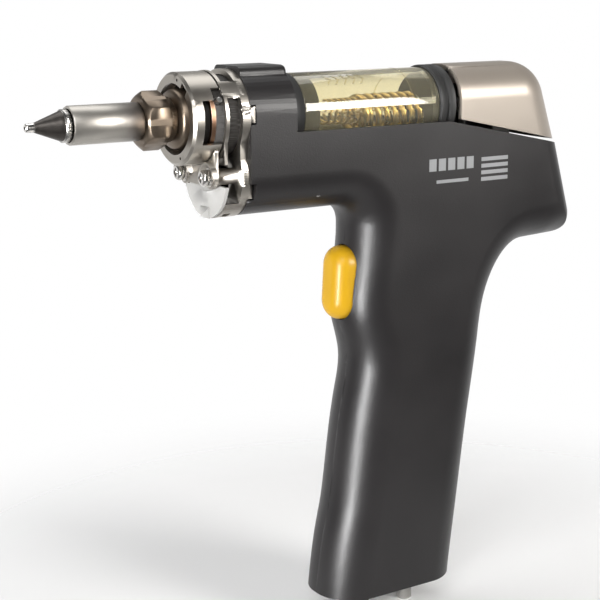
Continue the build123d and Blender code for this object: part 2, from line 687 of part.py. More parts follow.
with BuildPart() as shell:
    add(outer_shape)
    add(rib.part)
    add(outer_tail, mode=Mode.INTERSECT)
    block(0, nose_front, -40, 40, -60, 60, mode=Mode.SUBTRACT)
    block(0, 250, -40, 40, grip_base - 30, grip_base, mode=Mode.SUBTRACT)
    with BuildSketch(Plane.XZ) as open_top:
        with BuildLine():
            Polyline((cradle_front, 40), (cradle_front, cradle_edge), (glass_back + 2.5, cradle_edge),
                     (glass_back + 73, cradle_edge - 70.5 * deck_slope), (glass_back + 73, 40), close=True)
        make_face()
    extrude(open_top.sketch, amount=40, both=True, mode=Mode.SUBTRACT)
    rod(cradle_front, lever_pin_x + 0.5, holder_r + 0.34, mode=Mode.SUBTRACT)
    add(cavity.part, mode=Mode.SUBTRACT)
    rod(nose_front, cradle_front + 1, 5.0, mode=Mode.SUBTRACT)
    # bosses for the housing screws and seats for the inner pieces
    add(bosses.part)
    block(nub_x - 3.4, elbow_x + 6.8, -11.6, 11.6, bay_floor - 2.2, bay_floor - 0.05)
    block(elbow_x - 3.8, elbow_x + 3.8, -3.8, 3.8, -40, -10, mode=Mode.SUBTRACT)
    for z in (-62.0, -100.0):
        for side in (-1, 1):
            y0, y1 = sorted((side * (board_half - 0.9), side * 11.4))
            block(board_x - 1.2, board_x + 2.8, y0, y1, z - 1.5, z + 1.5)
            y0, y1 = sorted((side * (board_half - 1.5), side * (board_half + 0.05)))
            block(board_x - 0.03, board_x + 1.63, y0, y1, z - 2, z + 2, mode=Mode.SUBTRACT)
    # trigger pocket
    with Locations(Location((101.0, 0, trigger_z), (0, trigger_tilt, 0))):
        with Locations((0, 0, 0)):
            Box(16, 2 * (trigger_half + gap), trigger_len - 2 * trigger_half, mode=Mode.SUBTRACT)
        for end in (-1, 1):
            with Locations(Location((-8, 0, end * (trigger_len / 2 - trigger_half)), (0, 90, 0))):
                Cylinder(trigger_half + gap, 16, align=(Align.CENTER, Align.CENTER, Align.MIN), mode=Mode.SUBTRACT)
    # notches for the frame tabs
    for side in (-1, 1):
        y0, y1 = sorted((side * 8.7, side * 15.0))
        block(nose_front - 0.5, nose_front + 1.8, y0, y1, -1.5, 3.9, mode=Mode.SUBTRACT)
        block(nose_front - 0.5, nose_front + 1.8, y0, y1, -22.8, -18.0, mode=Mode.SUBTRACT)
    # openings in the base for the hose nipple and the cord gland
    gland_x = 104.0
    neck_half = 4.2
    post(grip_base - 5, grip_base + 5, 4.5, nipple_x, mode=Mode.SUBTRACT)
    block(gland_x - neck_half - 0.1, gland_x + neck_half + 0.1, -neck_half - 0.1,
          neck_half + 0.1, grip_base - 5, grip_base + 5, mode=Mode.SUBTRACT)

with BuildPart() as housing_left:
    add(shell.part)
    block(0, 250, 0.02, 60, -200, 60, mode=Mode.SUBTRACT)
    for x, z in boss_places:
        cross(-body_half + 2.6, 5, 1.1, x, z, mode=Mode.SUBTRACT)
save(housing_left, "housing_left")

with BuildPart() as housing_right:
    add(shell.part)
    block(0, 250, -60, 0.02, -200, 60, mode=Mode.SUBTRACT)
    for x, z in boss_places:
        cross(-5, body_half + 5, 1.35, x, z, mode=Mode.SUBTRACT)
        cross(body_half - 6.05, body_half + 5, 2.6, x, z, mode=Mode.SUBTRACT)
save(housing_right, "housing_right")

# ------------------------------------------------------------------ 34 housing screws
with BuildPart() as housing_screws:
    for x, z in boss_places:
        cross(body_half - 6.0, body_half - 4.02, 2.3, x, z)
        cross(-body_half + 2.8, body_half - 5.9, 1.06, x, z)
        block(x - 1.5, x + 1.5, body_half - 4.9, body_half, z - 0.3, z + 0.3, mode=Mode.SUBTRACT)
        block(x - 0.3, x + 0.3, body_half - 4.9, body_half, z - 1.5, z + 1.5, mode=Mode.SUBTRACT)
save(housing_screws, "housing_screws")

# ------------------------------------------------------------------ 35 trigger
# Yellow push trigger: capsule pad outside, a lip inside that keeps it in the pocket.
trigger_x = 101.0
trigger_back = 105.4
lean = radians(trigger_tilt)
with BuildPart() as trigger:
    face = Plane(origin=(trigger_x - 7.0 * cos(lean), 0, trigger_z + 7.0 * sin(lean)), x_dir=(0, 1, 0), z_dir=(cos(lean), 0, -sin(lean)))
    with BuildSketch(face) as pad:
        SlotOverall(trigger_len, 2 * trigger_half, rotation=90)
    extrude(pad.sketch, amount=10.6)
    fillet(trigger.faces().sort_by(Axis.X)[0].edges(), radius=4.4)
    with BuildSketch(face.offset(10.4)) as lip:
        SlotOverall(trigger_len + 1.6, 2 * trigger_half + 1.6, rotation=90)
    extrude(lip.sketch, amount=1.0)
save(trigger, "trigger")

# ------------------------------------------------------------------ 36-39 switch, spring and board
# Microswitch on the control board; its plunger and the return spring meet the trigger.
switch_front = 110.6
with BuildPart() as microswitch:
    block(switch_front, board_x - 0.05, -2.9, 2.9, trigger_z - 6.4, trigger_z + 6.4)
    fillet(microswitch.edges().filter_by(Axis.Y), radius=0.5)
    rod(switch_front - 1, switch_front + 5.0, 1.0 + fit, 0, trigger_z, mode=Mode.SUBTRACT)
save(microswitch, "microswitch")

plunger_front = trigger_back + 0.1
with BuildPart() as switch_plunger:
    rod(plunger_front, switch_front + 2.6, 1.0, 0, trigger_z)
    fillet(switch_plunger.edges().filter_by(GeomType.CIRCLE).group_by(Axis.X)[0], radius=0.5)
save(switch_plunger, "switch_plunger")

with BuildPart() as trigger_spring:
    coil(plunger_front + 0.4, switch_front - 0.45, 2.2, 1.15, 0.25, trigger_z)
save(trigger_spring, "trigger_spring")

board_top = -42.0
board_foot = -108.0
with BuildPart() as circuit_board:
    block(board_x, board_x + 1.6, -board_half, board_half, board_foot, board_top)
    block(board_x + 1.5, board_x + 6.0, -4.0, 4.0, board_foot + 2, board_foot + 9)
    block(board_x + 1.5, board_x + 4.0, -6.5, 6.5, -84.0, -76.0)
    block(board_x + 1.5, board_x + 5.5, -6.8, 6.8, board_top - 8.0, board_top - 1.0)
save(circuit_board, "circuit_board")

# ------------------------------------------------------------------ 40-42 base fittings
# Cord gland, hose nipple and the supply wires between the board and the gland.
gland_bore = 2.7
with BuildPart() as cord_gland:
    post(grip_base - 6.5, grip_base - 0.05, 4.9, gland_x)
    block(gland_x - neck_half, gland_x + neck_half, -neck_half, neck_half,
          grip_base - 0.2, grip_base + wall + 0.2)
    post(grip_base - 1.8, grip_base - 0.05, 6.2, gland_x)
    post(grip_base + wall + 0.05, grip_base + 4.0, 6.0, gland_x)
    fillet(cord_gland.edges().filter_by(GeomType.CIRCLE).group_by(Axis.Z)[0], radius=1.2)
    post(grip_base - 20, grip_base + 20, gland_bore, gland_x, mode=Mode.SUBTRACT)
save(cord_gland, "cord_gland")

nipple_r = 2.4
with BuildPart() as vacuum_nipple:
    post(grip_base - 10.0, grip_base - 1.0, nipple_r, nipple_x)
    chamfer(vacuum_nipple.edges().filter_by(GeomType.CIRCLE).group_by(Axis.Z)[0], length=0.3)
    post(grip_base - 1.5, grip_base + 12.6, 2.2, nipple_x)
    post(grip_base - 1.8, grip_base - 0.05, 5.8, nipple_x)
    post(grip_base - 0.2, grip_base + 4.0, 4.44, nipple_x)
    post(grip_base + wall + 0.05, grip_base + 4.0, 5.6, nipple_x)
    post(grip_base - 20, grip_base + 20, 1.4, nipple_x, mode=Mode.SUBTRACT)
save(vacuum_nipple, "vacuum_nipple")

with BuildPart() as supply_wires:
    for y in (-1.7, 0.0, 1.7):
        pipe([(board_x + 3.7, y, board_foot - 0.4), (board_x + 3.2, y, -116.0), (board_x - 5.0, y, -128.0),
              (gland_x + 0.5, y, grip_base + 13.0), (gland_x, y, grip_base + 5.2)], 0.7)
save(supply_wires, "supply_wires")
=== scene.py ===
"""Looks for the gun-type desoldering handpiece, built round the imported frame.

Nozzle towards -X, lever side up, the halves of the housing part on Y = 0.
"""
import bpy
import bmesh
import json
import math
from mathutils import Matrix, Vector

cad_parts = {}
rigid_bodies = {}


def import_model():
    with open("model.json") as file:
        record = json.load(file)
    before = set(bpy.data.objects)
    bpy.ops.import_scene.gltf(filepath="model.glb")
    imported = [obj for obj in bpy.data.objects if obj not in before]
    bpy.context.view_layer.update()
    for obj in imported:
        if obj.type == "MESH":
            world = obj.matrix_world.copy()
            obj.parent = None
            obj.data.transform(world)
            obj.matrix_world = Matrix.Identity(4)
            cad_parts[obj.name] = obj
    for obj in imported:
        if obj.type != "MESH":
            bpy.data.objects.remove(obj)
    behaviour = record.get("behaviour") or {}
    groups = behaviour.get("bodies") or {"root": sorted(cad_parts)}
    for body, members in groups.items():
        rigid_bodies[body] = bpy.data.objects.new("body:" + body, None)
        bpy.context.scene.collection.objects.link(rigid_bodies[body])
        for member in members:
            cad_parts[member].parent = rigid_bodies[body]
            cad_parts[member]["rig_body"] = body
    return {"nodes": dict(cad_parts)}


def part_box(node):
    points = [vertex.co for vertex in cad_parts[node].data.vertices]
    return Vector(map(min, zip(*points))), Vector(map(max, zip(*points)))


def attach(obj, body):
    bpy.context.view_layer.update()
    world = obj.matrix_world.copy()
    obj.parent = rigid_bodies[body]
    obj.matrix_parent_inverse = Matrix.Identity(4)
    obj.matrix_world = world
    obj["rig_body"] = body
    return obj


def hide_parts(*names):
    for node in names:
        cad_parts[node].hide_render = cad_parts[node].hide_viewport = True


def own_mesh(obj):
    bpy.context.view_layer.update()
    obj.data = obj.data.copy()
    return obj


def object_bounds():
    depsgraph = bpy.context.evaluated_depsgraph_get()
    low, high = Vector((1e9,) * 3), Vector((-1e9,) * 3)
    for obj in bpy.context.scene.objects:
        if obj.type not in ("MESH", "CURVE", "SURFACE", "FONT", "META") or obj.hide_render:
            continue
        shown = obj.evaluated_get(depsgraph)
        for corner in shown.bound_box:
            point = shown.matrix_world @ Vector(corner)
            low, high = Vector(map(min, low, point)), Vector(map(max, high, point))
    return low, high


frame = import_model()
cad_box = [list(map(float, corner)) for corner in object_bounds()]
MM = 0.001
WELD = 0.002 * MM

# ---------------------------------------------------------------- camera, light and floor
# A long lens from the nozzle side, a little above the barrel. Two soft boxes stand on the
# near side, one hangs overhead and a narrow one grazes the grip; the pale floor fades
# into a white backdrop.
scene = bpy.context.scene
look_from = {"azimuth": -31.96, "elevation": 12.83, "roll": -0.32, "distance": 420 * MM}
look_at = Vector((84.1, 0, -56.3)) * MM
azimuth = math.radians(look_from["azimuth"])
elevation = math.radians(look_from["elevation"])
back = Vector((math.sin(azimuth) * math.cos(elevation), -math.cos(azimuth) * math.cos(elevation),
               math.sin(elevation)))
right = (-back).cross(Vector((0, 0, 1))).normalized()
upward = right.cross(-back)
lean = math.radians(look_from["roll"])
right, upward = (right * math.cos(lean) + upward * math.sin(lean),
                 upward * math.cos(lean) - right * math.sin(lean))
camera = bpy.data.objects.new("camera", bpy.data.cameras.new("camera"))
scene.collection.objects.link(camera)
camera.matrix_world = Matrix.Translation(look_at + back * look_from["distance"]) @ Matrix(
    (right, upward, back)).transposed().to_4x4()
camera.data.lens = 84
camera.data.sensor_width = 36
camera.data.clip_start = 10 * MM
scene.camera = camera


def softbox(name, place, aim, size, power, tint=(1, 1, 1)):
    """Rectangular studio light turned towards a point."""
    lamp = bpy.data.lights.new(name, "AREA")
    lamp.shape = "RECTANGLE"
    lamp.size, lamp.size_y = size
    lamp.energy = power
    lamp.color = tint
    holder = bpy.data.objects.new(name, lamp)
    scene.collection.objects.link(holder)
    holder.location = place
    holder.rotation_euler = (Vector(aim) - Vector(place)).to_track_quat("-Z", "Y").to_euler()
    return holder


def faded(tree, value, start, end, low=0.0, high=1.0):
    """Smooth change from low, before start, to high, past end; returns the value output."""
    node = tree.nodes.new("ShaderNodeMapRange")
    node.interpolation_type = "SMOOTHSTEP"
    for label, number in (("From Min", start), ("From Max", end), ("To Min", low), ("To Max", high)):
        node.inputs[label].default_value = number
    tree.links.new(value, node.inputs["Value"])
    return node.outputs["Result"]


front_light = softbox("front_light", (0.42, -0.55, 0.16), (0.15, 0, 0.015), (0.26, 0.22), 0.75,
                      (1.0, 0.98, 0.95))
front_light.data.spread = math.radians(70)
softbox("key_light", (-0.35, -0.50, 0.42), (0.07, 0, -0.02), (0.35, 0.30), 2.4)
softbox("top_light", (0.15, 0.30, 0.75), (0.1, 0, -0.05), (0.9, 0.6), 3.6)
side_strip = softbox("side_strip", (-0.44, -0.22, -0.16), (0.105, 0, -0.13), (0.10, 0.40), 0.65)
side_strip.data.spread = math.radians(45)

# white backdrop on the far side, darker room behind the camera
world = bpy.data.worlds.new("studio")
world.use_nodes = True
room = world.node_tree
room_view = room.nodes.new("ShaderNodeTexCoord")
room_side = room.nodes.new("ShaderNodeVectorMath")
room_side.operation = "DOT_PRODUCT"
room_side.inputs[1].default_value = (0.53, 0.85, 0.0)
room.links.new(room_view.outputs["Generated"], room_side.inputs[0])
room_wall = faded(room, room_side.outputs["Value"], -0.3, 0.75, low=0.10)
room_height = room.nodes.new("ShaderNodeSeparateXYZ")
room.links.new(room_view.outputs["Generated"], room_height.inputs[0])
room_ceiling = faded(room, room_height.outputs["Z"], 0.02, 0.35, low=1.0, high=0.3)
room_level = room.nodes.new("ShaderNodeMath")
room_level.operation = "MULTIPLY"
room.links.new(room_wall, room_level.inputs[0])
room.links.new(room_ceiling, room_level.inputs[1])
room.links.new(room_level.outputs[0], room.nodes["Background"].inputs["Strength"])
room.nodes["Background"].inputs["Color"].default_value = (1, 1, 1, 1)
scene.world = world
scene.view_settings.view_transform = "Standard"

# pale disc of floor that carries the shadow and fades out round the grip
floor_half = 0.75
floor_clear = 0.02 * MM
floor_mesh = bpy.data.meshes.new("floor")
floor_shape = bmesh.new()
bmesh.ops.create_grid(floor_shape, x_segments=2, y_segments=2, size=floor_half)
bmesh.ops.translate(floor_shape, verts=floor_shape.verts, vec=(0, 0, cad_box[0][2] - floor_clear))
floor_shape.to_mesh(floor_mesh)
floor_shape.free()
floor = bpy.data.objects.new("floor", floor_mesh)
scene.collection.objects.link(floor)
floor_paint = bpy.data.materials.new("floor_paint")
floor_paint.use_nodes = True
floor_tree = floor_paint.node_tree
floor_shader = floor_tree.nodes["Principled BSDF"]
floor_shader.inputs["Base Color"].default_value = (0.93, 0.93, 0.93, 1)
floor_shader.inputs["Roughness"].default_value = 0.8
floor_shader.inputs["Specular IOR Level"].default_value = 0.1
floor_place = floor_tree.nodes.new("ShaderNodeTexCoord")
floor_centre = floor_tree.nodes.new("ShaderNodeVectorMath")
floor_centre.operation = "SUBTRACT"
floor_centre.inputs[1].default_value = (0.12, 0, cad_box[0][2])
floor_tree.links.new(floor_place.outputs["Object"], floor_centre.inputs[0])
floor_reach = floor_tree.nodes.new("ShaderNodeVectorMath")
floor_reach.operation = "LENGTH"
floor_tree.links.new(floor_centre.outputs["Vector"], floor_reach.inputs[0])
floor_tree.links.new(faded(floor_tree, floor_reach.outputs["Value"], 0.06, 0.22, low=1.0, high=0.0),
                     floor_shader.inputs["Alpha"])
floor_mesh.materials.append(floor_paint)

# ---------------------------------------------------------------- housing halves
# Two injection moulded shells in black static-dissipative plastic, screwed together from
# the right side. The moulds are spark textured, so the skin is matt with a fine grain.


def new_group(name, inputs, outputs):
    """Empty shader node group with named sockets; returns it with its input and output nodes."""
    group = bpy.data.node_groups.new(name, "ShaderNodeTree")
    for label, kind, value in inputs:
        socket = group.interface.new_socket(label, in_out="INPUT", socket_type=kind)
        if value is not None:
            socket.default_value = value
    for label, kind in outputs:
        group.interface.new_socket(label, in_out="OUTPUT", socket_type=kind)
    return group, group.nodes.new("NodeGroupInput"), group.nodes.new("NodeGroupOutput")


def joined(tree, source, target):
    """Link one socket to another."""
    tree.links.new(source, target)


def math_node(tree, operation, a, b=None, c=None, clamp=False):
    """Math node fed by sockets or numbers; returns its output."""
    node = tree.nodes.new("ShaderNodeMath")
    node.operation = operation
    node.use_clamp = clamp
    for socket, value in zip(node.inputs, (a, b, c)):
        if value is None:
            continue
        if isinstance(value, (int, float)):
            socket.default_value = value
        else:
            tree.links.new(value, socket)
    return node.outputs[0]


# spark texture: fine grain height and a slow change of shade, in object millimetres
spark, spark_in, spark_out = new_group(
    "spark_texture",
    [("Grain", "NodeSocketFloat", 3500.0), ("Patch", "NodeSocketFloat", 60.0)],
    [("Height", "NodeSocketFloat"), ("Shade", "NodeSocketFloat")])
spark_place = spark.nodes.new("ShaderNodeTexCoord")
spark_grain = spark.nodes.new("ShaderNodeTexNoise")
spark_grain.inputs["Detail"].default_value = 3.0
spark_patch = spark.nodes.new("ShaderNodeTexNoise")
spark_patch.inputs["Detail"].default_value = 4.0
joined(spark, spark_place.outputs["Object"], spark_grain.inputs["Vector"])
joined(spark, spark_place.outputs["Object"], spark_patch.inputs["Vector"])
joined(spark, spark_in.outputs["Grain"], spark_grain.inputs["Scale"])
joined(spark, spark_in.outputs["Patch"], spark_patch.inputs["Scale"])
joined(spark, spark_grain.outputs["Fac"], spark_out.inputs["Height"])
joined(spark, spark_patch.outputs["Fac"], spark_out.inputs["Shade"])

# edge wear and painted sheen: finds outer edges by comparing the rounded normal with the true one; the
# lighter edge colour it drives is wear, and on the nut partly a painted highlight
wear_and_sheen, wear_in, wear_out = new_group(
    "edge_wear_and_sheen",
    [("Width", "NodeSocketFloat", 0.0004), ("Amount", "NodeSocketFloat", 1.0)],
    [("Edge", "NodeSocketFloat")])
wear_bevel = wear_and_sheen.nodes.new("ShaderNodeBevel")
wear_bevel.samples = 4
wear_true = wear_and_sheen.nodes.new("ShaderNodeNewGeometry")
wear_dot = wear_and_sheen.nodes.new("ShaderNodeVectorMath")
wear_dot.operation = "DOT_PRODUCT"
wear_noise = wear_and_sheen.nodes.new("ShaderNodeTexNoise")
wear_noise.inputs["Scale"].default_value = 900.0
wear_noise.inputs["Detail"].default_value = 2.0
wear_place = wear_and_sheen.nodes.new("ShaderNodeTexCoord")
joined(wear_and_sheen, wear_place.outputs["Object"], wear_noise.inputs["Vector"])
joined(wear_and_sheen, wear_in.outputs["Width"], wear_bevel.inputs["Radius"])
joined(wear_and_sheen, wear_bevel.outputs["Normal"], wear_dot.inputs[0])
joined(wear_and_sheen, wear_true.outputs["Normal"], wear_dot.inputs[1])
wear_and_sheen_edge = math_node(wear_and_sheen, "SUBTRACT", 1.0, wear_dot.outputs["Value"])
wear_and_sheen_edge = math_node(wear_and_sheen, "MULTIPLY", wear_and_sheen_edge, 6.0, clamp=True)
wear_break = math_node(wear_and_sheen, "MULTIPLY_ADD", wear_noise.outputs["Fac"], 1.6, -0.25, clamp=True)
wear_and_sheen_edge = math_node(wear_and_sheen, "MULTIPLY", wear_and_sheen_edge, wear_break)
wear_and_sheen_edge = math_node(wear_and_sheen, "MULTIPLY", wear_and_sheen_edge, wear_in.outputs["Amount"], clamp=True)
joined(wear_and_sheen, wear_and_sheen_edge, wear_out.inputs["Edge"])


def new_material(name):
    """Material with its Principled shader, ready for nodes."""
    material = bpy.data.materials.new(name)
    material.use_nodes = True
    return material, material.node_tree, material.node_tree.nodes["Principled BSDF"]


def use(tree, group, **values):
    """Place a node group and set its inputs."""
    node = tree.nodes.new("ShaderNodeGroup")
    node.node_tree = group
    for label, value in values.items():
        node.inputs[label].default_value = value
    return node


def shade_between(tree, fac, low, high):
    """Mix of two colours by a value; returns the colour output."""
    mix = tree.nodes.new("ShaderNodeMix")
    mix.data_type = "RGBA"
    tree.links.new(fac, mix.inputs["Factor"])
    for socket, value in ((mix.inputs["A"], low), (mix.inputs["B"], high)):
        if isinstance(value, tuple):
            socket.default_value = (*value, 1)
        else:
            tree.links.new(value, socket)
    return mix.outputs["Result"]


def bumped(tree, shader, height, depth):
    """Bump node between a height and the shader's normal."""
    bump = tree.nodes.new("ShaderNodeBump")
    bump.inputs["Strength"].default_value = depth
    bump.inputs["Distance"].default_value = 0.1 * MM
    tree.links.new(height, bump.inputs["Height"])
    tree.links.new(bump.outputs["Normal"], shader.inputs["Normal"])


def moulded(name, dark, light, rough, grain=3500.0, depth=0.25, edge=0.25, edge_tone=(0.2, 0.2, 0.2),
            shine=0.5):
    """Spark textured moulding with slightly polished edges."""
    material, tree, shader = new_material(name)
    skin = use(tree, spark, Grain=grain, Patch=45.0)
    edge_mark = use(tree, wear_and_sheen, Width=0.0005, Amount=edge)
    base = shade_between(tree, skin.outputs["Shade"], dark, light)
    base = shade_between(tree, edge_mark.outputs["Edge"], base, edge_tone)
    joined(tree, base, shader.inputs["Base Color"])
    gloss = math_node(tree, "MULTIPLY_ADD", skin.outputs["Shade"], 0.16, rough - 0.08)
    gloss = math_node(tree, "MULTIPLY_ADD", edge_mark.outputs["Edge"], -0.15, gloss)
    joined(tree, gloss, shader.inputs["Roughness"])
    shader.inputs["Specular IOR Level"].default_value = shine
    bumped(tree, shader, skin.outputs["Height"], depth)
    return material


def finished(name, shape, material, body, smooth=True):
    """Mesh object from a bmesh, with outward normals, riding on a body."""
    bmesh.ops.recalc_face_normals(shape, faces=shape.faces)
    mesh = bpy.data.meshes.new(name)
    shape.to_mesh(mesh)
    shape.free()
    mesh.materials.append(material)
    piece = bpy.data.objects.new(name, mesh)
    scene.collection.objects.link(piece)
    if smooth:
        mesh.shade_smooth()
        mesh.set_sharp_from_angle(angle=math.radians(30))
    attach(piece, body)
    return piece


def smoothed(node, material, angle=28.0):
    """Cleaned copy of a CAD piece, with smooth faces and sharp real edges, in its place."""
    piece = bpy.data.objects.new(node + "_shape", frame["nodes"][node].data.copy())
    scene.collection.objects.link(piece)
    shape = bmesh.new()
    shape.from_mesh(piece.data)
    bmesh.ops.remove_doubles(shape, verts=shape.verts, dist=WELD)
    shape.to_mesh(piece.data)
    shape.free()
    piece.data.shade_smooth()
    piece.data.set_sharp_from_angle(angle=math.radians(angle))
    piece.data.materials.clear()
    piece.data.materials.append(material)
    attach(piece, frame["nodes"][node]["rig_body"])
    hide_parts(node)
    return piece


charcoal = moulded("charcoal_moulding", (0.0075, 0.0068, 0.0072), (0.015, 0.0135, 0.014), 0.38,
                   grain=2600.0, depth=0.4, edge_tone=(0.04, 0.04, 0.04), shine=0.42)
for half in ("housing_left", "housing_right"):
    smoothed(half, charcoal, 24.0)

# pad printed pattern of plain bars on the near side, a film on the skin
print_grey = moulded("print_grey", (0.17, 0.175, 0.18), (0.24, 0.245, 0.25), 0.5, depth=0.1, edge=0.05)
skin_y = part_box("housing_left")[0].y
film = (skin_y - 0.03 * MM, skin_y + 0.05 * MM)
blocks = [(121.8 + 3.55 * k, -19.1, 2.7, 3.7) for k in range(5)]
underline = [(124.6, -22.9, 12.2, 1.0)]
stripes = [(141.8, -23.4 + 2.05 * k, 10.5, 1.2) for k in range(4)]
printed = bmesh.new()
for x, z, length, height in blocks + underline + stripes:
    outline = ((x, z), (x + length, z), (x + length, z + height), (x, z + height))
    outer, inner = ([printed.verts.new((px * MM, y, pz * MM)) for px, pz in outline] for y in film)
    printed.faces.new(outer)
    printed.faces.new(inner[::-1])
    for k in range(4):
        after = (k + 1) % 4
        printed.faces.new((outer[k], inner[k], inner[after], outer[after]))
finished("side_print", printed, print_grey, "body", smooth=False)

# ---------------------------------------------------------------- nozzle, heater and sleeve
# Iron plated copper nozzle with a tinned face, screwed on the heater core; the sleeve is a
# polished stainless tube with a rolled mouth, blued by heat where it nears the nut.


def along(tree, axis="X"):
    """Object coordinate along one axis, in millimetres."""
    place = tree.nodes.new("ShaderNodeTexCoord")
    split = tree.nodes.new("ShaderNodeSeparateXYZ")
    tree.links.new(place.outputs["Object"], split.inputs[0])
    return math_node(tree, "MULTIPLY", split.outputs[axis], 1000.0)


# turned metal: fine rings across X, drifting roughness and small stains
turned_metal, turned_in, turned_out = new_group(
    "turned_metal",
    [("Rings", "NodeSocketFloat", 6000.0), ("Stain", "NodeSocketFloat", 250.0)],
    [("Height", "NodeSocketFloat"), ("Drift", "NodeSocketFloat")])
turned_place = turned_metal.nodes.new("ShaderNodeTexCoord")
turned_squeeze = turned_metal.nodes.new("ShaderNodeMapping")
turned_squeeze.inputs["Scale"].default_value = (1.0, 0.02, 0.02)
turned_rings = turned_metal.nodes.new("ShaderNodeTexNoise")
turned_rings.inputs["Detail"].default_value = 2.0
turned_stain = turned_metal.nodes.new("ShaderNodeTexNoise")
turned_stain.inputs["Detail"].default_value = 5.0
turned_stain.inputs["Roughness"].default_value = 0.6
joined(turned_metal, turned_place.outputs["Object"], turned_squeeze.inputs["Vector"])
joined(turned_metal, turned_squeeze.outputs["Vector"], turned_rings.inputs["Vector"])
joined(turned_metal, turned_in.outputs["Rings"], turned_rings.inputs["Scale"])
joined(turned_metal, turned_place.outputs["Object"], turned_stain.inputs["Vector"])
joined(turned_metal, turned_in.outputs["Stain"], turned_stain.inputs["Scale"])
joined(turned_metal, turned_rings.outputs["Fac"], turned_out.inputs["Height"])
joined(turned_metal, turned_stain.outputs["Fac"], turned_out.inputs["Drift"])


def metal(name, dark, light, rough, spread=0.12, rings=6000.0, stain=250.0, depth=0.04,
          edge=0.5, edge_tone=(0.85, 0.83, 0.8)):
    """Machined or plated metal with rings, stains and brighter edges."""
    material, tree, shader = new_material(name)
    skin = use(tree, turned_metal, Rings=rings, Stain=stain)
    edge_mark = use(tree, wear_and_sheen, Width=0.00025, Amount=edge)
    base = shade_between(tree, skin.outputs["Drift"], dark, light)
    base = shade_between(tree, edge_mark.outputs["Edge"], base, edge_tone)
    joined(tree, base, shader.inputs["Base Color"])
    joined(tree, math_node(tree, "MULTIPLY_ADD", skin.outputs["Drift"], spread, rough - spread / 2),
           shader.inputs["Roughness"])
    shader.inputs["Metallic"].default_value = 1.0
    bumped(tree, shader, skin.outputs["Height"], depth)
    return material, tree, shader, base


nozzle_iron, tree, shader, base = metal("nozzle_iron", (0.055, 0.05, 0.048), (0.12, 0.11, 0.10), 0.40,
                                        stain=700.0, depth=0.1, edge=0.3)
tinned_to = 2.6
collar_from = 9.9
x = along(tree)
tinned = math_node(tree, "SUBTRACT", 1.0, faded(tree, x, tinned_to - 0.7, tinned_to))
collar = math_node(tree, "MULTIPLY", faded(tree, x, collar_from, collar_from + 0.1), 0.8)
bright = math_node(tree, "MAXIMUM", tinned, collar)
joined(tree, shade_between(tree, bright, base, (0.78, 0.76, 0.73)), shader.inputs["Base Color"])
joined(tree, math_node(tree, "MULTIPLY_ADD", bright, -0.22, 0.42), shader.inputs["Roughness"])
smoothed("nozzle", nozzle_iron)

sleeve_steel, tree, shader, base = metal("sleeve_steel", (0.42, 0.40, 0.365), (0.54, 0.515, 0.475), 0.42,
                                         spread=0.10, rings=9000.0, depth=0.02, edge=0.4)
blued_from = 22.0
blued_whole = 31.0
x = along(tree)
blue = math_node(tree, "MULTIPLY", faded(tree, x, blued_from, blued_whole), 0.75)
joined(tree, shade_between(tree, blue, base, (0.22, 0.20, 0.19)), shader.inputs["Base Color"])
smoothed("sleeve", sleeve_steel, 35.0)

core_copper = metal("core_copper", (0.16, 0.09, 0.06), (0.32, 0.19, 0.12), 0.38)[0]
smoothed("heater_core", core_copper)
tube_steel = metal("tube_steel", (0.42, 0.41, 0.40), (0.55, 0.54, 0.52), 0.3)[0]
smoothed("solder_tube", tube_steel)

# the bright edge colour on the nut and flange is partly worn metal and partly a painted highlight
nut_bronze = metal("nut_bronze", (0.14, 0.11, 0.085), (0.26, 0.21, 0.16), 0.36, spread=0.18,
                  stain=380.0, depth=0.05, edge=0.8, edge_tone=(0.62, 0.54, 0.42))[0]
smoothed("sleeve_nut", nut_bronze)
smoothed("heater_flange", nut_bronze)

# ---------------------------------------------------------------- front frame and locking can
# Pressed and turned nickel plated parts: the can turns a few degrees on two pins and
# locks the heater to the frame, a wave washer behind it takes the play.
nickel = metal("nickel_plate", (0.36, 0.335, 0.30), (0.47, 0.44, 0.395), 0.34, spread=0.1,
               rings=7000.0, stain=120.0, depth=0.03, edge=0.7)[0]
smoothed("locking_can", nickel)
smoothed("front_frame", nickel)
satin = metal("satin_steel", (0.50, 0.49, 0.47), (0.62, 0.61, 0.59), 0.3)[0]
smoothed("bayonet_pins", satin)
spring_gold = metal("spring_gold", (0.50, 0.36, 0.14), (0.72, 0.56, 0.28), 0.28, edge=0.2)[0]
smoothed("wave_ring", core_copper)
insulator_clay = moulded("insulator_clay", (0.02, 0.018, 0.017), (0.05, 0.045, 0.04), 0.7, grain=2500.0)
smoothed("insulator", insulator_clay)

# ---------------------------------------------------------------- clamp, screws and cover plate
# Warm sintered strap held by two pan head screws on spring and flat washers, over a
# pale plate with a stamped crescent.
sintered = metal("sintered_nickel", (0.33, 0.31, 0.275), (0.46, 0.43, 0.39), 0.42, spread=0.16,
                 rings=2500.0, stain=500.0, depth=0.15, edge=0.5)[0]
smoothed("clamp_bracket", sintered)
screw_steel = metal("screw_steel", (0.62, 0.60, 0.57), (0.78, 0.76, 0.73), 0.2, spread=0.12,
                    rings=3000.0, edge=0.3)[0]
for piece in ("flat_washers", "spring_washers", "clamp_screws", "housing_screws"):
    smoothed(piece, screw_steel)
cover_grey = moulded("cover_grey", (0.30, 0.295, 0.285), (0.42, 0.415, 0.40), 0.45, grain=2200.0,
                     depth=0.1, edge=0.4, edge_tone=(0.55, 0.55, 0.54))
smoothed("cover_plate", cover_grey)

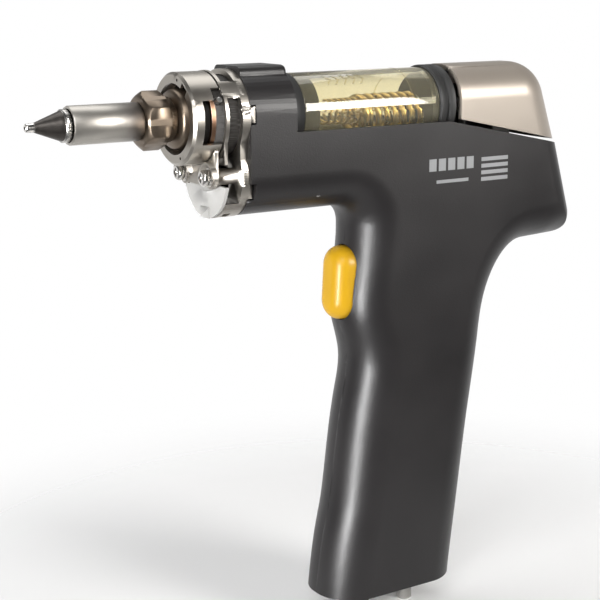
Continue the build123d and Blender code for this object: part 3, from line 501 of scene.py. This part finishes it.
# ---------------------------------------------------------------- glass filter pipe
# Heat resistant glass with an amber tint between two black packings; the coil spring
# filter and the paper disc sit inside.
glass, tree, shader = new_material("amber_glass")
tint = use(tree, spark, Grain=300.0, Patch=30.0)
joined(tree, shade_between(tree, tint.outputs["Shade"], (1.0, 0.93, 0.68), (1.0, 0.955, 0.77)),
       shader.inputs["Base Color"])
joined(tree, math_node(tree, "MULTIPLY", tint.outputs["Height"], 0.06), shader.inputs["Roughness"])
shader.inputs["IOR"].default_value = 1.47
shader.inputs["Metallic"].default_value = 0.0
shader.inputs["Transmission Weight"].default_value = 0.95
smoothed("glass_tube", glass)

# raised chevrons along the top of the glass, and a thin fill line round it
tube_low, tube_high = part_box("glass_tube")
tube_r = (tube_high.z - tube_low.z) / 2


def glass_strip(shape, points, width, lift=0.12 * MM, sunk=0.1 * MM):
    """Raised strip on the glass through (x, angle) points; angle 0 is the top, negative is near."""
    rings = []
    for x, turn in points:
        ring = []
        for across, out in ((-0.5, -sunk), (-0.5, lift), (0.5, lift), (0.5, -sunk)):
            radius = tube_r + out
            place = (x + across * width, math.sin(turn) * radius, math.cos(turn) * radius)
            ring.append(shape.verts.new(place))
        rings.append(ring)
    for low, high in zip(rings, rings[1:]):
        for k in range(4):
            shape.faces.new((low[k], low[(k + 1) % 4], high[(k + 1) % 4], high[k]))
    shape.faces.new(rings[0][::-1])
    shape.faces.new(rings[-1])


mark_pitch = 2.9
mark_depth = 1.6 * MM
mark_width = 0.7 * MM
mark_middle, mark_half = math.radians(-36), math.radians(10)
marks = bmesh.new()
for k in range(5):
    start = tube_low.x + (9.5 + mark_pitch * k) * MM
    glass_strip(marks, [(start, mark_middle - mark_half), (start + mark_depth, mark_middle),
                        (start, mark_middle + mark_half)], mark_width)
finished("glass_marks", marks, glass, "body")
line_sides = 72
line_profile = [(x * MM, out * MM) for x, out in ((37.6, -0.05), (37.7, 0.06), (38.0, 0.06), (38.1, -0.05))]
fill_line = bmesh.new()
rings = []
for k in range(line_sides):
    turn = 2 * math.pi * k / line_sides
    rings.append([fill_line.verts.new((tube_low.x + x, math.sin(turn) * (tube_r + out),
                                       math.cos(turn) * (tube_r + out)))
                  for x, out in line_profile])
for k in range(line_sides):
    low, high = rings[k], rings[(k + 1) % line_sides]
    for j in range(4):
        fill_line.faces.new((low[j], low[(j + 1) % 4], high[(j + 1) % 4], high[j]))
finished("glass_fill_line", fill_line, glass, "body")

rubber = moulded("black_rubber", (0.010, 0.010, 0.010), (0.022, 0.022, 0.022), 0.55, grain=900.0,
                 depth=0.12, edge=0.2, edge_tone=(0.06, 0.06, 0.06))
for piece in ("front_packing", "rear_packing", "holder_ring", "stem_seal"):
    smoothed(piece, rubber)
smoothed("spring_filter", spring_gold, 50.0)

# the two return springs get meshes of their own; the joints and travels listed with them are not used here,
# and nothing shortens them
for spring, joint, travel in (("trigger_spring", "trigger_push", 2.0 * MM),
                              ("carriage_spring", "carriage_slide", 3.6 * MM)):
    coil = smoothed(spring, satin, 50.0)
    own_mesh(coil)

paper = moulded("filter_paper", (0.75, 0.73, 0.68), (0.86, 0.84, 0.80), 0.9, grain=1500.0, depth=0.3)
smoothed("paper_filter", paper)

# ---------------------------------------------------------------- release lever and carriage
# Die pressed lever in champagne metallic paint; it turns on a pin through the sliding
# carriage and draws it back off the glass.
lever_paint, tree, shader = new_material("champagne_paint")
flake = use(tree, spark, Grain=9000.0, Patch=80.0)
edge_mark = use(tree, wear_and_sheen, Width=0.0004, Amount=0.4)
base = shade_between(tree, flake.outputs["Height"], (0.26, 0.225, 0.19), (0.44, 0.39, 0.34))
base = shade_between(tree, edge_mark.outputs["Edge"], base, (0.55, 0.50, 0.44))
joined(tree, base, shader.inputs["Base Color"])
joined(tree, math_node(tree, "MULTIPLY_ADD", flake.outputs["Shade"], 0.1, 0.33),
       shader.inputs["Roughness"])
shader.inputs["Metallic"].default_value = 0.55
bumped(tree, shader, flake.outputs["Height"], 0.06)
smoothed("release_lever", lever_paint)
inner_black = moulded("inner_black", (0.02, 0.02, 0.02), (0.04, 0.04, 0.04), 0.5, edge=0.2)
smoothed("carriage", inner_black)
smoothed("guide_bracket", satin)
smoothed("lever_pin", satin)

# ---------------------------------------------------------------- trigger and switch
# Glossy yellow push trigger on a microswitch soldered to the control board.
trigger_yellow, tree, shader = new_material("trigger_yellow")
skin = use(tree, spark, Grain=1200.0, Patch=120.0)
edge_mark = use(tree, wear_and_sheen, Width=0.0006, Amount=0.3)
base = shade_between(tree, skin.outputs["Shade"], (0.37, 0.205, 0.003), (0.44, 0.25, 0.006))
base = shade_between(tree, edge_mark.outputs["Edge"], base, (0.56, 0.33, 0.04))
joined(tree, base, shader.inputs["Base Color"])
joined(tree, math_node(tree, "MULTIPLY_ADD", skin.outputs["Height"], 0.10, 0.36),
       shader.inputs["Roughness"])
joined(tree, math_node(tree, "MULTIPLY_ADD", skin.outputs["Shade"], 0.1, 0.06),
       shader.inputs["Coat Weight"])
shader.inputs["Specular IOR Level"].default_value = 0.3
bumped(tree, shader, skin.outputs["Height"], 0.04)
smoothed("trigger", trigger_yellow)
smoothed("microswitch", inner_black)
smoothed("switch_plunger", cover_grey)
board_green = moulded("board_green", (0.02, 0.16, 0.07), (0.03, 0.22, 0.10), 0.35, edge=0.1)
smoothed("circuit_board", board_green)
wire_red = moulded("wire_red", (0.45, 0.05, 0.03), (0.60, 0.09, 0.05), 0.45, depth=0.05, edge=0.1)
smoothed("heater_leads", wire_red, 50.0)
smoothed("supply_wires", wire_red, 50.0)

# ---------------------------------------------------------------- vacuum path and base fittings
# Elbow, hose and nipple carry the vacuum to the foot of the grip, beside the cord gland.
smoothed("vacuum_elbow", satin)
hose_black = moulded("hose_black", (0.03, 0.03, 0.03), (0.05, 0.05, 0.05), 0.4, depth=0.05)
smoothed("vacuum_hose", hose_black, 50.0)
smoothed("vacuum_nipple", satin)
smoothed("cord_gland", rubber)
